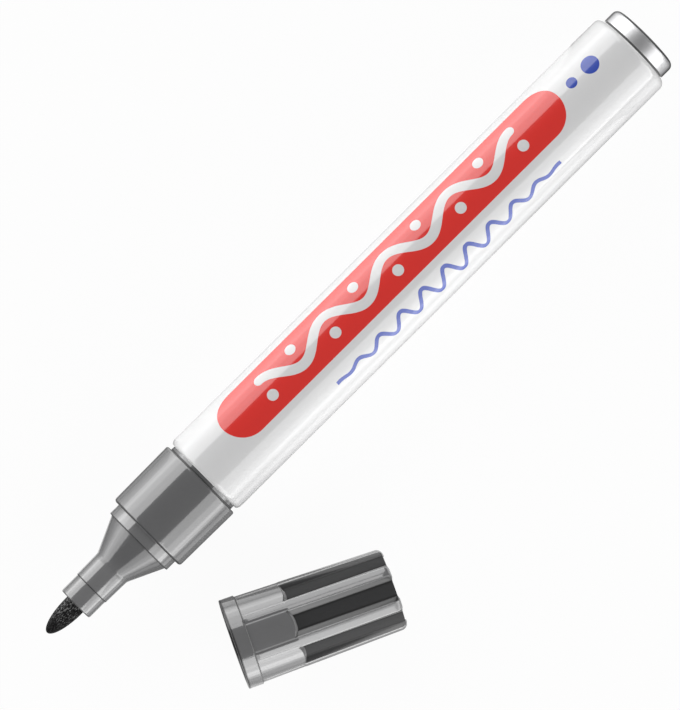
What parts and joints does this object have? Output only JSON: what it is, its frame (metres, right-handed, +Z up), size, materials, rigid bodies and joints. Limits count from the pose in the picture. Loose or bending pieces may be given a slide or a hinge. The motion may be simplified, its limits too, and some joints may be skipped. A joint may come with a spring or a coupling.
{
  "type": "permanent marker",
  "caption": "Round-barrelled permanent marker with a bullet felt nib, stepped grey front section and a fluted pull-off cap laid beside it.",
  "frame": {"origin": "middle of the footprint of the pen and the laid-down cap, on the table top", "axes": "+X along the pen from nib to rear end, +Z up from the table; the cap lies on the -Y side"},
  "size_m": [0.1346, 0.0472, 0.015],
  "materials": {
    "barrel_lacquer": "white gloss lacquer on drawn aluminium, bare metal on the rear boss",
    "section_plastic": "satin moulded grey",
    "nib_felt": "ink-soaked bonded fibre",
    "reservoir_fibre": "ink-soaked fibre tow",
    "reservoir_film": "thin clear film",
    "cap_plastic": "satin moulded grey",
    "liner_plastic": "natural soft plastic"
  },
  "bodies": {
    "pen": {"barrel": "barrel_lacquer", "front_section": "section_plastic", "ink_reservoir": "reservoir_fibre", "reservoir_wrap": "reservoir_film"},
    "nib": {"nib": "nib_felt"},
    "cap": {"cap_shell": "cap_plastic", "cap_liner": "liner_plastic"}
  },
  "joints": [
    {"name": "cap_pull", "type": "slide", "parent": "pen", "child": "cap", "axis": [0.9026, -0.4305, 0], "range_m": [0, 0.0224]},
    {"name": "nib_draw", "type": "slide", "parent": "pen", "child": "nib", "axis": [-1, 0, 0], "range_m": [0, 0.0296]}
  ]
}
